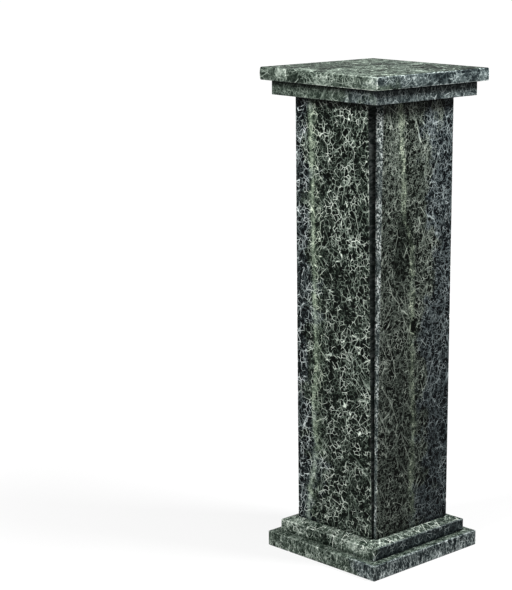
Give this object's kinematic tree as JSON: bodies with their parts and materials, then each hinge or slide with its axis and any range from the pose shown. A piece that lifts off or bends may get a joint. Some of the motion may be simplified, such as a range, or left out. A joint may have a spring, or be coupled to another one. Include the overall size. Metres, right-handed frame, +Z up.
{
  "type": "pedestal column stand",
  "caption": "Square polished stone pedestal: a hollow shaft with notched corners, narrower at its foot, between stepped head and foot slabs, with a flat top to display things on.",
  "frame": {"origin": "centre of the underside of the plinth, on the floor", "axes": "+Z up along the shaft; +X to the right and -Y to the front, each square to a face of the shaft"},
  "size_m": [0.324, 0.324, 1],
  "materials": {
    "head_stone": "polished dark green marble with pale veins",
    "shaft_stone": "polished dark green marble with a network of pale veins",
    "foot_stone": "polished dark green marble with pale flecks",
    "inner_stone": "sawn, unpolished marble offcut",
    "steel": "plain zinc-plated steel"
  },
  "bodies": {
    "root": {"plinth_slab": "foot_stone", "tier_slab": "foot_stone", "shaft_panel_front": "shaft_stone", "shaft_panel_right": "shaft_stone", "shaft_panel_back": "shaft_stone", "shaft_panel_left": "shaft_stone", "lower_plug": "inner_stone", "upper_plug": "inner_stone", "corner_block_front_right_low": "inner_stone", "corner_block_front_right_middle": "inner_stone", "corner_block_front_right_high": "inner_stone", "corner_block_back_right_low": "inner_stone", "corner_block_back_right_middle": "inner_stone", "corner_block_back_right_high": "inner_stone", "corner_block_back_left_low": "inner_stone", "corner_block_back_left_middle": "inner_stone", "corner_block_back_left_high": "inner_stone", "corner_block_front_left_low": "inner_stone", "corner_block_front_left_middle": "inner_stone", "corner_block_front_left_high": "inner_stone", "neck_slab": "head_stone", "cap_slab": "head_stone", "lower_washer": "steel", "lower_nut": "steel", "upper_washer": "steel", "upper_nut": "steel", "tie_rod": "steel"}
  },
  "joints": []
}
